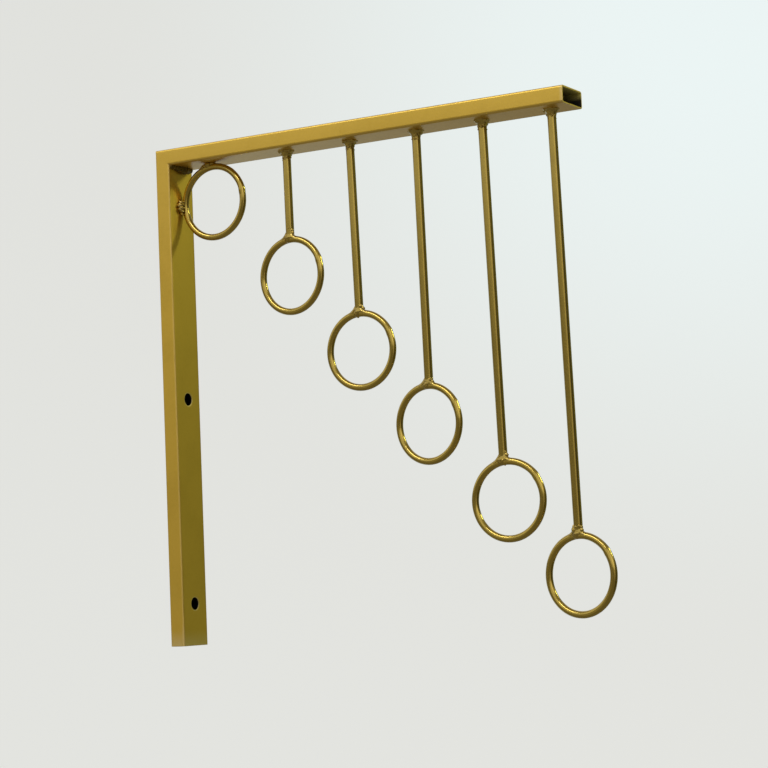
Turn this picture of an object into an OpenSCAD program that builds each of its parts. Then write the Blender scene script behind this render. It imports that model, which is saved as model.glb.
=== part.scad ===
// Wall-mounted waterfall display bracket: an L of flat steel tube with rings
// that step down on drop rods. Millimetres, +X out from the wall, +Z up.
// The origin is on the wall, midway between the two screw holes.

/* [Tube frame] */
// Height of the wall post
post_height = 300; // [290:1:400]
// Reach of the arm from the wall to its open end
arm_reach = 275; // [272:1:340]
// Narrow side of the tube, seen from the front
tube_thickness = 10; // [8:0.5:14]
// Wide side of the tube, which runs front to back
tube_width = 25; // [20:0.5:40]
// Wall of the tube
tube_wall = 1; // [0.8:0.1:1.6]
// Outside corner radius of the tube
tube_corner = 1.5; // [1.2:0.1:2]

/* [Wall screws] */
// Diameter of the screw holes drilled through the post
screw_hole_d = 7.5; // [4:0.1:8]
// Height of the lower screw hole above the post's foot
lower_hole_height = 25; // [15:0.5:60]
// Distance from the lower screw hole to the upper one
screw_spacing = 123; // [80:0.5:150]

/* [Rings] */
// Outside diameter of every ring
ring_od = 47; // [44:0.5:48]
// Diameter of the ring wire
ring_wire_d = 4; // [3.5:0.1:4.5]
// How far each ring is turned about the vertical, from the wall outwards
ring_turn = [2, 5.5, 2, 9, 2, 10]; // [0:0.5:12] degrees each
// Gap between the first ring and the two tubes that its welds bridge
first_ring_gap = 0.4; // [0.3:0.1:0.6]

/* [Drop rods] */
// Diameter of every drop rod
rod_d = 5; // [4.5:0.1:5.5]
// Distance of each drop rod from the wall, where it meets the arm
rod_x = [87, 131, 175.5, 218.5, 262]; // [85:0.5:264] each
// Height of each drop rod from the arm to its ring, from the wall outwards
rod_drop = [51, 99.5, 145, 191, 234]; // [30:0.5:240] each
// Lean of each drop rod away from the wall
rod_lean = [0.5, 1.1, 0.6, 1.1, 1]; // [0:0.1:1.5] degrees each
// How far each ring's centre is outwards of the end of its rod
ring_offset = [0.2, 0.4, -1, 2.4, 0.4]; // [-2:0.1:2.5] each

/* [Welds] */
// Radius of the collar of weld where a drop rod meets the arm
arm_weld_r = 5.2; // [4.6:0.1:6]
// Height of that collar
arm_weld_height = 5.4; // [4:0.1:7]
// Radius of the bead of weld where a drop rod meets its ring
ring_weld_r = 3.7; // [3.5:0.1:4.2]
// How far the first ring's arm weld sits towards the wall from the top of the ring
first_weld_shift = 3; // [0:0.5:4]
// How far the first ring's post weld sits towards the front from the post's middle
post_weld_shift = 1.5; // [0:0.5:3]
// Leg of the bead along the inside corner of the frame
corner_weld_leg = 3.4; // [1.5:0.1:4]

/* [Hidden] */
$fn = 64;

// Heights are counted from the post's foot, then moved to the origin.
origin_height = lower_hole_height + screw_spacing / 2;
underside = post_height - tube_thickness;
ring_mid_r = (ring_od - ring_wire_d) / 2;
ring_outer_r = ring_od / 2;
rod_r = rod_d / 2;
// A rod's end is cut square just above the ring, and the weld fills the gap.
rod_end_gap = 0.3;
// The first ring's centre, tucked into the corner of the frame.
corner_ring_inset = tube_thickness + first_ring_gap + ring_outer_r;
past = 1;

// Stations count the rings from the wall: 1 has no rod, 2 to 6 hang on rods.
function rod_end_x(s) = rod_x[s - 2] + rod_drop[s - 2] * tan(rod_lean[s - 2]);
function ring_x(s) = s == 1 ? corner_ring_inset : rod_end_x(s) + ring_offset[s - 2];
function ring_top(s) = s == 1 ? underside - first_ring_gap : underside - rod_drop[s - 2];

module gold() {
    color([0.66, 0.52, 0.22]) translate([0, 0, -origin_height]) children();
}

module weld_gold() {
    color([0.60, 0.47, 0.20]) translate([0, 0, -origin_height]) children();
}

// Rounded rectangle centred on the origin, thickness along x and width along y.
module rounded_outline(thickness, width, corner) {
    square([thickness - 2 * corner, width], center = true);
    square([thickness, width - 2 * corner], center = true);
    for (x = [-1, 1], y = [-1, 1])
        translate([x * (thickness / 2 - corner), y * (width / 2 - corner)]) circle(corner);
}

// Length of rectangular tube along +Z with one wide face on the plane x = 0.
module flat_tube(length) {
    translate([tube_thickness / 2, 0, 0])
        linear_extrude(length)
            difference() {
                rounded_outline(tube_thickness, tube_width, tube_corner);
                rounded_outline(
                    tube_thickness - 2 * tube_wall,
                    tube_width - 2 * tube_wall,
                    tube_corner - tube_wall
                );
            }
}

// Slab across the whole width of the tube, from an outline drawn in x and z.
module across(outline, depth) {
    translate([0, depth / 2, 0]) rotate([90, 0, 0]) linear_extrude(depth) polygon(outline);
}

module wall_post() {
    gold()
        difference() {
            intersection() {
                flat_tube(post_height);
                across([
                    [-past, -past], [tube_thickness + past, -past],
                    [tube_thickness + past, underside - past], [-past, post_height + past]
                ], tube_width + 2 * past);
            }
            for (height = [lower_hole_height, lower_hole_height + screw_spacing])
                translate([-past, 0, height]) rotate([0, 90, 0])
                    cylinder(d = screw_hole_d, h = tube_thickness + 2 * past);
        }
}

module display_arm() {
    gold()
        intersection() {
            translate([0, 0, post_height]) rotate([0, 90, 0]) flat_tube(arm_reach);
            across([
                [-past, post_height + past], [tube_thickness + past, underside - past],
                [arm_reach + past, underside - past], [arm_reach + past, post_height + past]
            ], tube_width + 2 * past);
        }
}

// Concave bead along the inside corner, between the flat parts of both tubes.
module corner_weld() {
    bead_length = tube_width - 2 * tube_corner - 1;
    weld_gold()
        translate([tube_thickness, bead_length / 2, underside]) rotate([90, 0, 0])
            linear_extrude(bead_length)
                difference() {
                    translate([0, -corner_weld_leg]) square(corner_weld_leg);
                    translate([corner_weld_leg, -corner_weld_leg]) circle(corner_weld_leg);
                }
}

// A rod's full-length core, on its leaning axis and open past both ends.
module rod_core(s) {
    length = rod_drop[s - 2] + 4 * past;
    translate([rod_x[s - 2], 0, underside]) rotate([0, -rod_lean[s - 2], 0])
        translate([0, 0, 2 * past - length]) cylinder(r = rod_r, h = length);
}

module rod_body(s) {
    low = ring_top(s) + rod_end_gap;
    intersection() {
        rod_core(s);
        translate([0, -tube_width, low]) cube([arm_reach, 2 * tube_width, underside - low]);
    }
}

module ring_body(s) {
    translate([ring_x(s), 0, ring_top(s) - ring_outer_r]) rotate([0, 0, -ring_turn[s - 1]])
        rotate([90, 0, 0])
            rotate_extrude() translate([ring_mid_r, 0]) circle(d = ring_wire_d);
}

module drop_rod(s) {
    gold() rod_body(s);
}

module hanger_ring(s) {
    gold() ring_body(s);
}

// Flared collar of weld, wide at z = 0 and narrowing below it.
module weld_collar(radius, tip_r, height) {
    rotate_extrude()
        polygon([
            [0, 0], [radius, 0], [radius * 0.93, -height * 0.2],
            [tip_r + (radius - tip_r) * 0.45, -height * 0.45],
            [tip_r + (radius - tip_r) * 0.18, -height * 0.78],
            [tip_r, -height], [0, -height]
        ]);
}

module arm_weld(s) {
    tip = rod_r - 0.1;
    weld_gold()
        difference() {
            translate([rod_x[s - 2], 0, underside]) weld_collar(arm_weld_r, tip, arm_weld_height);
            rod_body(s);
        }
}

// The first ring's welds: one up to the arm, one back to the post.
module first_arm_weld() {
    weld_gold()
        difference() {
            translate([ring_x(1) - first_weld_shift, 0, underside])
                weld_collar(arm_weld_r, 2.9, 3.4);
            ring_body(1);
        }
}

module first_post_weld() {
    weld_gold()
        difference() {
            translate([tube_thickness, -post_weld_shift, ring_top(1) - ring_outer_r - 2])
                rotate([0, -90, 0]) weld_collar(arm_weld_r, 2.9, 3.4);
            ring_body(1);
        }
}

// Bead that wraps the end of a rod and saddles the top of its ring.
module ring_weld(s) {
    weld_gold()
        difference() {
            translate([rod_end_x(s), 0, ring_top(s)])
                rotate_extrude()
                    polygon([
                        [0, -1.8], [2.7, -1.8], [ring_weld_r - 0.2, -0.9], [ring_weld_r, 0.3],
                        [rod_r + 0.7, 1.9], [rod_r + 0.2, 3.6], [rod_r - 0.2, 4.8], [0, 4.8]
                    ]);
            rod_body(s);
            ring_body(s);
        }
}

wall_post();
display_arm();
corner_weld();
for (s = [2:6]) drop_rod(s);
for (s = [1:6]) hanger_ring(s);
first_arm_weld();  // arm_weld_1
for (s = [2:6]) arm_weld(s);
first_post_weld();  // post_weld_1
for (s = [2:6]) ring_weld(s);
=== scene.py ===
"""Visual model of a wall-mounted waterfall display bracket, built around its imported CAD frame.

Metres, +X out from the wall along the arm, +Z up, +Y across the tube's wide side. The origin is
on the wall, midway between the two screw holes.
"""

from __future__ import annotations

import logging
import math
from dataclasses import dataclass, field
from enum import Enum
from typing import Callable, ClassVar, Optional, Sequence, Union

import bmesh
import bpy
from mathutils import Matrix, Vector

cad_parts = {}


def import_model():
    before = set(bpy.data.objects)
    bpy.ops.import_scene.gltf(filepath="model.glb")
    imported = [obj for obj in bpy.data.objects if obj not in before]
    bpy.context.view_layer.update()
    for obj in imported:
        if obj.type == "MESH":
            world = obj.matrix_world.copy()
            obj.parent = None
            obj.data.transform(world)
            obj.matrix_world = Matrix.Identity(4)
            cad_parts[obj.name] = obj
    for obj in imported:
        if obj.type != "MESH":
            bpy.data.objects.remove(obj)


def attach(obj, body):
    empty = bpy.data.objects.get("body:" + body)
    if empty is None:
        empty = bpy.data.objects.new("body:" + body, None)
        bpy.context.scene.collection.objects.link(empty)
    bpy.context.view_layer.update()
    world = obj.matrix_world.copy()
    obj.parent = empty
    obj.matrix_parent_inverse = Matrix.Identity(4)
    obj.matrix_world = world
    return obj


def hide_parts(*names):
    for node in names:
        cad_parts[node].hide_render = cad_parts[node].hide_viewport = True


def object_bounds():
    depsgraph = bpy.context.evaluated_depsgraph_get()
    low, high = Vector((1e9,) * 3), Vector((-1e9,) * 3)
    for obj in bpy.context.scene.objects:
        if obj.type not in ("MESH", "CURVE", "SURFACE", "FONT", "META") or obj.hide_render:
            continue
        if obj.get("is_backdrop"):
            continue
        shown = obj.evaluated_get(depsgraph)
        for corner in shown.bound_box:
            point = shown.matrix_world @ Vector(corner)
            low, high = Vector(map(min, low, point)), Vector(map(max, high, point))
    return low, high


LOG = logging.getLogger("bracket")
MM = 0.001
BODY = "root"
FOOT_Z = -86.5 * MM
POST_HEIGHT = 300 * MM
TUBE_THICKNESS = 10 * MM
UNDERSIDE_Z = FOOT_Z + POST_HEIGHT - TUBE_THICKNESS
ROD_R = 2.5 * MM
RING_OUTER_R = 23.5 * MM
RING_WIRE_R = 2.0 * MM

Number = Union[float, int]
Colour = tuple[float, float, float]
Profile = Callable[[float], float]
Row = tuple[Profile, float, float]
Loop = Sequence[bmesh.types.BMVert]


class Slot(Enum):
    """Material slots of the record that the pieces take their finish from."""

    TUBE = "tube_paint"
    ROD = "rod_paint"
    WELD = "weld_paint"


class Input(Enum):
    """Kinds of a shape tree's named inputs."""

    SHAPE = "NodeSocketGeometry"
    NUMBER = "NodeSocketFloat"
    COUNT = "NodeSocketInt"
    POINT = "NodeSocketVector"
    FINISH = "NodeSocketMaterial"


class Value:
    """A socket that carries a number, so that Python's operators add Math nodes."""

    def __init__(self, graph: "Graph", socket: bpy.types.NodeSocket) -> None:
        """Wraps one output socket of a graph."""
        self.graph = graph
        self.socket = socket

    def _math(self, operation: str, first: "Term", second: "Term") -> "Value":
        """Adds one Math node.

        Args:
            operation: Name of the Math node's operation.
            first: Upper operand.
            second: Lower operand.

        Returns:
            The result as a new value.
        """
        node = self.graph.node("ShaderNodeMath", {"operation": operation}, {0: first, 1: second})
        return Value(self.graph, node.outputs[0])

    def __add__(self, other: "Term") -> "Value":
        """Sum."""
        return self._math("ADD", self, other)

    __radd__ = __add__

    def __sub__(self, other: "Term") -> "Value":
        """Difference."""
        return self._math("SUBTRACT", self, other)

    def __rsub__(self, other: "Term") -> "Value":
        """Difference with the operands turned round."""
        return self._math("SUBTRACT", other, self)

    def __mul__(self, other: "Term") -> "Value":
        """Product."""
        return self._math("MULTIPLY", self, other)

    __rmul__ = __mul__

    def __abs__(self) -> "Value":
        """Absolute value."""
        return self._math("ABSOLUTE", self, 0.0)

    def bearing(self, level: "Term") -> "Value":
        """Angle of the point that this value is the Y of, with its X given."""
        return self._math("ARCTAN2", self, level)

    def least(self, other: "Term") -> "Value":
        """The smaller of this value and another."""
        return self._math("MINIMUM", self, other)

    def most(self, other: "Term") -> "Value":
        """The larger of this value and another."""
        return self._math("MAXIMUM", self, other)

    def step(self, start: float, end: float, low: float = 0.0, high: float = 1.0) -> "Value":
        """Eases from one level to another.

        Args:
            start: Value at which the result leaves low.
            end: Value at which the result reaches high; it may be less than start.
            low: Result before start.
            high: Result after end.

        Returns:
            The eased value.
        """
        if start > end:
            start, end, low, high = end, start, high, low
        node = self.graph.node(
            "ShaderNodeMapRange",
            {"interpolation_type": "SMOOTHSTEP"},
            {"Value": self, "From Min": start, "From Max": end, "To Min": low, "To Max": high},
        )
        return Value(self.graph, node.outputs["Result"])


Term = Union[Value, Number]
Source = Union[Value, bpy.types.NodeSocket, bpy.types.ID, Number, str, Sequence[float]]


class Graph:
    """Adds nodes to a shader or geometry tree and joins their sockets."""

    def __init__(self, tree: bpy.types.NodeTree) -> None:
        """Wraps a node tree."""
        self.tree = tree

    @staticmethod
    def _pick(sockets: bpy.types.bpy_prop_collection, key: Union[int, str]) -> bpy.types.NodeSocket:
        """The socket at a position, or the first one in use with that name.

        Args:
            sockets: A node's inputs or outputs.
            key: Position or name of the one that is wanted.

        Returns:
            The socket.
        """
        if isinstance(key, int):
            return sockets[key]
        return next(s for s in sockets if s.enabled and s.name == key)

    def node(
        self,
        kind: str,
        settings: Optional[dict[str, object]] = None,
        sockets: Optional[dict[Union[int, str], Source]] = None,
    ) -> bpy.types.Node:
        """Adds a node.

        Args:
            kind: The node's type.
            settings: Its properties, which are set first.
            sockets: Values or links of its inputs, by name or position.

        Returns:
            The new node.
        """
        made = self.tree.nodes.new(kind)
        for name, setting in (settings or {}).items():
            setattr(made, name, setting)
        for key, source in (sockets or {}).items():
            self.feed(self._pick(made.inputs, key), source)
        return made

    def feed(self, socket: bpy.types.NodeSocket, source: Source) -> None:
        """Gives an input its value or its link.

        Args:
            socket: The input.
            source: A value, an output or a constant.
        """
        if isinstance(source, Value):
            source = source.socket
        if isinstance(source, bpy.types.NodeSocket):
            self.tree.links.new(source, socket)
        elif socket.type == "RGBA" and len(source) == 3:
            socket.default_value = (*source, 1.0)
        else:
            socket.default_value = source

    def out(self, node: bpy.types.Node, name: str) -> bpy.types.NodeSocket:
        """The output in use with that name."""
        return self._pick(node.outputs, name)

    def value(self, node: bpy.types.Node, name: str) -> Value:
        """A numeric output as a value for Python's operators."""
        return Value(self, self.out(node, name))

    def vector(self, operation: str, *operands: Source) -> bpy.types.NodeSocket:
        """Adds a Vector Math node.

        Args:
            operation: Its operation.
            *operands: Its inputs, in order; SCALE takes the number second.

        Returns:
            Its result, a number for DOT_PRODUCT, LENGTH and DISTANCE.
        """
        keys: list[Union[int, str]] = [0, "Scale"] if operation == "SCALE" else [0, 1, 2]
        node = self.node(
            "ShaderNodeVectorMath", {"operation": operation}, dict(zip(keys, operands))
        )
        return next(s for s in node.outputs if s.enabled)

    def blend(self, share: Source, below: Source, above: Source) -> bpy.types.NodeSocket:
        """Blends two colours.

        Args:
            share: How much of the upper colour shows, 0 to 1.
            below: Colour at 0.
            above: Colour at 1.

        Returns:
            The blended colour.
        """
        node = self.node("ShaderNodeMix", {"data_type": "RGBA"})
        for name, source in (("Factor", share), ("A", below), ("B", above)):
            self.feed(self._pick(node.inputs, name), source)
        return self.out(node, "Result")

    def noise(self, place: Source, size: float, detail: float = 2.0) -> Value:
        """Noise whose features are about as large as size, in metres.

        Args:
            place: Where it is read.
            size: Size of its features.
            detail: Octaves of finer noise on top.

        Returns:
            The noise, from 0 to 1.
        """
        node = self.node(
            "ShaderNodeTexNoise", {}, {"Vector": place, "Scale": 1 / size, "Detail": detail}
        )
        return self.value(node, "Fac")

    def cells(self, place: Source, size: float) -> bpy.types.Node:
        """Voronoi cells about as large as size, in metres."""
        return self.node("ShaderNodeTexVoronoi", {}, {"Vector": place, "Scale": 1 / size})


class Surface(Graph):
    """A material's graph with its place on the object and its Principled shader."""

    def __init__(self, name: str) -> None:
        """Makes an empty material.

        Args:
            name: Name of the material.
        """
        self.material = bpy.data.materials.new(name)
        self.material.use_nodes = True
        super().__init__(self.material.node_tree)
        self.tree.nodes.clear()
        self.place = self.out(self.node("ShaderNodeTexCoord"), "Object")
        self.shader = self.node("ShaderNodeBsdfPrincipled")
        output = self.node("ShaderNodeOutputMaterial")
        self.tree.links.new(self.shader.outputs[0], output.inputs["Surface"])

    def attribute(self, name: str) -> Value:
        """A number stored on the mesh."""
        return self.value(self.node("ShaderNodeAttribute", {"attribute_name": name}), "Fac")

    def coat(self, **sockets: Source) -> None:
        """Sets the shader's sockets; an underscore stands for a space."""
        for name, source in sockets.items():
            self.feed(self.shader.inputs[name.replace("_", " ")], source)

    def relief(self, height: Value, depth: float) -> None:
        """Raises the surface by a height map.

        Args:
            height: Height from 0 to 1.
            depth: Real depth of that height in metres.
        """
        bump = self.node(
            "ShaderNodeBump", {}, {"Strength": 1.0, "Distance": depth, "Height": height}
        )
        self.feed(self.shader.inputs["Normal"], self.out(bump, "Normal"))


@dataclass(frozen=True)
class GoldPaint:
    """Gold metallic spray paint over bare steel.

    Attributes:
        name: Name of the material.
        light: Colour where the paint lies thickest.
        deep: Colour of its thinner, browner areas.
        worn_and_highlight: Colour along sharp edges, where the flakes lie open, and paler still as
            a painted highlight.
        roughness: Gloss of the flakes.
        gloss: Weight of the clear binder on top.
        gloss_roughness: Roughness of that binder.
        peel_size: Size of the paint's dimples.
        peel_depth: Depth of those dimples.
        patch_size: Size of the areas of thinner paint.
        grit: Share of fine dust and spatter caught in the paint.
    """

    name: str
    light: Colour
    deep: Colour
    worn_and_highlight: Colour
    roughness: float
    gloss: float
    gloss_roughness: float
    peel_size: float
    peel_depth: float
    patch_size: float
    grit: float

    CLOUD_SIZE: ClassVar[float] = 2.2 * MM
    FLAKE_SIZE: ClassVar[float] = 0.16 * MM
    SPECK_PITCH: ClassVar[float] = 3.1 * MM
    SPECK_TONE: ClassVar[Colour] = (0.10, 0.065, 0.018)
    DUST_SIZE: ClassVar[float] = 0.22 * MM

    def material(self) -> bpy.types.Material:
        """Builds the paint as a node material.

        Returns:
            The material.
        """
        paint = Surface(self.name)
        patches = paint.noise(paint.place, self.patch_size, 3.0).step(0.38, 0.66)
        clouds = paint.noise(paint.place, self.CLOUD_SIZE, 3.0)
        flakes = paint.cells(paint.place, self.FLAKE_SIZE)
        glitter = Value(paint, paint.node(
            "ShaderNodeSeparateColor", {}, {0: paint.out(flakes, "Color")}
        ).outputs[0])
        edge = paint.attribute("edge").step(0.25, 1.0)
        thin = patches * 0.55 + (clouds - 0.5) * 0.8 + (glitter - 0.5) * 0.35
        base = paint.blend(thin.most(0.0).least(1.0), self.light, self.deep)
        # Edges take the paler edge colour: rubbed paint and a painted highlight.
        base = paint.blend(edge * (0.35 + 0.4 * clouds), base, self.worn_and_highlight)
        specks = paint.cells(paint.place, self.SPECK_PITCH)
        speck = paint.value(specks, "Distance").step(0.10, 0.05) * self.grit
        base = paint.blend(speck, base, self.SPECK_TONE)
        dimples = paint.noise(paint.place, self.peel_size, 2.0)
        dust = paint.noise(paint.place, self.DUST_SIZE, 1.0)
        paint.relief(dimples + dust * (0.04 + self.grit) + speck * 0.8, self.peel_depth)
        dullness = 0.86 + 0.28 * clouds + 0.12 * (glitter - 0.5)
        paint.coat(
            Base_Color=base,
            Metallic=1.0,
            Roughness=self.roughness * dullness + edge * 0.05,
            Coat_Weight=self.gloss,
            Coat_Roughness=self.gloss_roughness,
            Coat_IOR=1.5,
        )
        return paint.material


@dataclass(frozen=True)
class TubeBore:
    """Mill-scale steel inside the tube, near black as painted shade, with gold near its openings
    that is partly drifted spray paint and partly painted light.

    Attributes:
        name: Name of the material.
        steel: Colour of the scale, made near black as painted shade inside the tube.
        rust: Colour of its browner streaks.
        overspray_and_painted_light: Colour of the gold near the openings, paint that drifted in,
            made bright as painted light on the lit inner wall.
        streak_size: Size of the browner streaks.
        grain_size: Size of the scale's grain.
        grain_depth: Depth of that grain.
    """

    name: str = "tube_bore"
    # Near black: dark scale and painted shade inside the tube.
    steel: Colour = (0.012, 0.010, 0.008)
    rust: Colour = (0.030, 0.018, 0.010)
    overspray_and_painted_light: Colour = (0.95, 0.84, 0.24)
    streak_size: float = 3.0 * MM
    grain_size: float = 0.5 * MM
    grain_depth: float = 0.04 * MM

    def material(self) -> bpy.types.Material:
        """Builds the bore as a node material.

        Returns:
            The material.
        """
        bore = Surface(self.name)
        streaks = bore.noise(bore.place, self.streak_size, 4.0)
        grain = bore.noise(bore.place, self.grain_size, 3.0)
        # The gold near the openings lies on one inner wall only: drifted paint and painted light.
        mist_and_light = (bore.attribute("mouth") * (0.55 + 0.9 * grain)).least(1.0)
        base = bore.blend(streaks.step(0.45, 0.70), self.steel, self.rust)
        bore.relief(grain, self.grain_depth)
        bore.coat(
            Base_Color=bore.blend(mist_and_light, base, self.overspray_and_painted_light),
            Metallic=mist_and_light * 0.15 + 0.10,
            Roughness=0.75 - mist_and_light * 0.3,
        )
        return bore.material


@dataclass(frozen=True)
class StudioPaper:
    """Matt pale paper of the floor and backdrop.

    Attributes:
        name: Name of the material.
        tone: Colour of the paper.
        glow: Light that comes through it.
        bright: Light in its brightest area.
        bright_middle: Middle of that area.
        bright_core: Distance from the middle within which it is even.
        bright_reach: Distance from the middle at which it has faded out.
        cast_size: Size of the clouds of slightly darker paper.
        cast_depth: Tone of those clouds, as a share of the paper's.
    """

    name: str = "studio_paper"
    tone: Colour = (0.11, 0.11, 0.108)
    glow: Colour = (0.72, 0.728, 0.702)
    bright: Colour = (0.80, 0.88, 0.88)
    bright_middle: Vector = Vector((-1.0, 3.55, 1.2))
    bright_core: float = 0.1
    bright_reach: float = 1.5
    cast_size: float = 1.6
    cast_depth: float = 0.97

    def material(self) -> bpy.types.Material:
        """Builds the paper as a node material.

        Returns:
            The material.
        """
        paper = Surface(self.name)
        cast = paper.noise(paper.place, self.cast_size, 1.0).step(0.35, 0.65)
        shaded = tuple(self.cast_depth * part for part in self.tone)
        away = Value(paper, paper.vector("DISTANCE", paper.place, self.bright_middle))
        near = away.step(self.bright_reach, self.bright_core)
        paper.coat(
            Base_Color=paper.blend(cast, self.tone, shaded),
            Emission_Color=paper.blend(near, self.glow, self.bright),
            Emission_Strength=1.0,
            Roughness=0.95,
            Specular_IOR_Level=0.1,
        )
        return paper.material


TUBE_PAINT = GoldPaint(
    name="tube_gold",
    light=(0.86, 0.580, 0.090),
    deep=(0.76, 0.510, 0.072),
    worn_and_highlight=(0.90, 0.74, 0.38),
    roughness=0.45,
    gloss=0.40,
    gloss_roughness=0.16,
    peel_size=1.3 * MM,
    peel_depth=0.010 * MM,
    patch_size=26 * MM,
    grit=0.10,
)
ROD_PAINT = GoldPaint(
    name="rod_gold",
    light=(0.55, 0.395, 0.075),
    deep=(0.47, 0.335, 0.058),
    worn_and_highlight=(0.62, 0.45, 0.13),
    roughness=0.20,
    gloss=0.60,
    gloss_roughness=0.13,
    peel_size=2.2 * MM,
    peel_depth=0.003 * MM,
    patch_size=14 * MM,
    grit=0.02,
)
WELD_PAINT = GoldPaint(
    name="weld_gold",
    light=(0.53, 0.375, 0.068),
    deep=(0.38, 0.26, 0.042),
    worn_and_highlight=(0.66, 0.47, 0.12),
    roughness=0.24,
    gloss=1.0,
    gloss_roughness=0.08,
    peel_size=1.0 * MM,
    peel_depth=0.022 * MM,
    patch_size=3.5 * MM,
    grit=0.45,
)
# A darker copy of the weld paint: painted shade for the bead in the shadowed inside corner.
PAINTED_SHADE_WELD_PAINT = GoldPaint(
    name="painted_shade_weld_gold",
    light=(0.22, 0.15, 0.024),
    deep=(0.07, 0.046, 0.012),
    worn_and_highlight=(0.50, 0.36, 0.10),
    roughness=0.42,
    gloss=0.3,
    gloss_roughness=0.22,
    peel_size=0.8 * MM,
    peel_depth=0.06 * MM,
    patch_size=2.6 * MM,
    grit=0.6,
)


Finish = Union[GoldPaint, TubeBore, StudioPaper]


def material_of(finish: Finish) -> bpy.types.Material:
    """The material of a finish, made the first time that it is asked for."""
    return bpy.data.materials.get(finish.name) or finish.material()


def hand_in(piece: bpy.types.Object, node: str) -> bpy.types.Object:
    """Lets a finished piece stand for its CAD node and reports it.

    Args:
        piece: The piece, in place in its mesh.
        node: The CAD node that it stands for.

    Returns:
        The same piece.
    """
    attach(piece, BODY)
    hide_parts(node)
    LOG.info("%s stands for %s, %d faces", piece.name, node, len(piece.data.polygons))
    return piece


def settle(piece: bpy.types.Object) -> None:
    """Turns a piece's modifiers into a plain mesh and removes them.

    Args:
        piece: The piece, with its modifiers live.
    """
    graph = bpy.context.evaluated_depsgraph_get()
    mesh = bpy.data.meshes.new_from_object(
        piece.evaluated_get(graph), preserve_all_data_layers=True, depsgraph=graph
    )
    piece.modifiers.clear()
    piece.data = mesh
    mesh.name = piece.name


def add_piece(name: str, mesh: Optional[bpy.types.Mesh] = None) -> bpy.types.Object:
    """Links a new object at the origin, with an empty mesh if none is given.

    Args:
        name: Name of the object.
        mesh: Its mesh.

    Returns:
        The object.
    """
    piece = bpy.data.objects.new(name, mesh or bpy.data.meshes.new(name))
    bpy.context.scene.collection.objects.link(piece)
    return piece


class ShapeTree(Graph):
    """A Geometry Nodes tree with named inputs that ends in one finished mesh."""

    def __init__(self, name: str, inputs: dict[str, Input]) -> None:
        """Makes the tree and its named inputs.

        Args:
            name: Name of the tree.
            inputs: Kind of each named input.
        """
        tree = bpy.data.node_groups.new(name, "GeometryNodeTree")
        super().__init__(tree)
        self.identifiers: dict[str, str] = {}
        tree.interface.new_socket("Mesh", in_out="OUTPUT", socket_type="NodeSocketGeometry")
        for label, kind in inputs.items():
            made = tree.interface.new_socket(label, in_out="INPUT", socket_type=kind.value)
            self.identifiers[label] = made.identifier
        self.entry = self.node("NodeGroupInput")

    def given(self, label: str) -> bpy.types.NodeSocket:
        """The socket of a named input."""
        return self.out(self.entry, label)

    def number(self, label: str) -> Value:
        """A named input as a value for Python's operators."""
        return self.value(self.entry, label)

    def close(self, shape: bpy.types.NodeSocket) -> None:
        """Ends the tree: smooth shading, real instances, then the finish.

        Args:
            shape: The finished geometry.
        """
        smooth = self.node("GeometryNodeSetShadeSmooth", {}, {"Geometry": shape})
        real = self.node("GeometryNodeRealizeInstances", {}, {"Geometry": smooth.outputs[0]})
        painted = self.node(
            "GeometryNodeSetMaterial",
            {},
            {"Geometry": real.outputs[0], "Material": self.given("Finish")},
        )
        self.node("NodeGroupOutput", {}, {"Mesh": painted.outputs[0]})

    def apply(self, piece: bpy.types.Object, values: dict[str, object]) -> None:
        """Runs the tree on a piece and keeps the result as its plain mesh.

        Args:
            piece: The piece, whose own mesh is the tree's geometry input where it has one.
            values: Value of each named input.
        """
        modifier = piece.modifiers.new(self.tree.name, "NODES")
        modifier.node_group = self.tree
        for label, value in values.items():
            modifier[self.identifiers[label]] = value
        settle(piece)


@dataclass(frozen=True)
class TubeSection:
    """Rounded rectangular tube, thickness from 0 up and width centred on 0.

    Attributes:
        thickness: Size of the narrow side.
        width: Size of the wide side.
        wall: Thickness of the metal.
        corner: Outside radius of the corners.
        corner_steps: Facets round each corner.
        spokes: Columns in each half of a wide face, spaced as a hole's spokes meet its edge.
        wear_and_highlight: How much the paint thins on the rounded corners and how much painted
            highlight they take, 0 to 1.
    """

    thickness: float = TUBE_THICKNESS
    width: float = 25 * MM
    wall: float = 1 * MM
    corner: float = 1.5 * MM
    corner_steps: int = 6
    spokes: int = 6
    wear_and_highlight: float = 0.62

    LEAST_CORNER: ClassVar[float] = 0.05 * MM

    @property
    def flat(self) -> float:
        """Half the flat part of a wide face."""
        return self.width / 2 - self.corner

    def offsets(self) -> list[float]:
        """Distances of a wide face's columns from its middle."""
        step = math.radians(45 / self.spokes)
        return [self.flat * math.tan(step * i) for i in range(-self.spokes, self.spokes + 1)]

    def outline(self, inset: float) -> list[tuple[float, float, float]]:
        """Points round the section.

        Args:
            inset: Distance inside the outer surface.

        Returns:
            Thickness, width and edge weight of each point; the face at full thickness first.
        """
        radius = max(self.corner - inset, self.LEAST_CORNER)
        points: list[tuple[float, float, float]] = []
        for face, sign in ((self.thickness - inset, 1.0), (inset, -1.0)):
            points += [(face, sign * offset, 0.0) for offset in self.offsets()]
            edge = sign * (self.width / 2 - inset)
            middle_w = sign * (self.width / 2 - inset - radius)
            far_t = self.thickness - face + sign * radius
            for turn, middle_t in enumerate((face - sign * radius, far_t)):
                for i in range(1, self.corner_steps + (1 - turn)):
                    angle = math.pi / 2 * (i / self.corner_steps + turn)
                    points.append((
                        middle_t + sign * radius * math.cos(angle),
                        middle_w + sign * radius * math.sin(angle),
                        self.wear_and_highlight * math.sin(2 * (angle - turn * math.pi / 2)),
                    ))
                if turn == 0:
                    points += [(self.thickness / 2, edge, 0.0), (far_t, edge, 0.0)]
        return points


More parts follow.
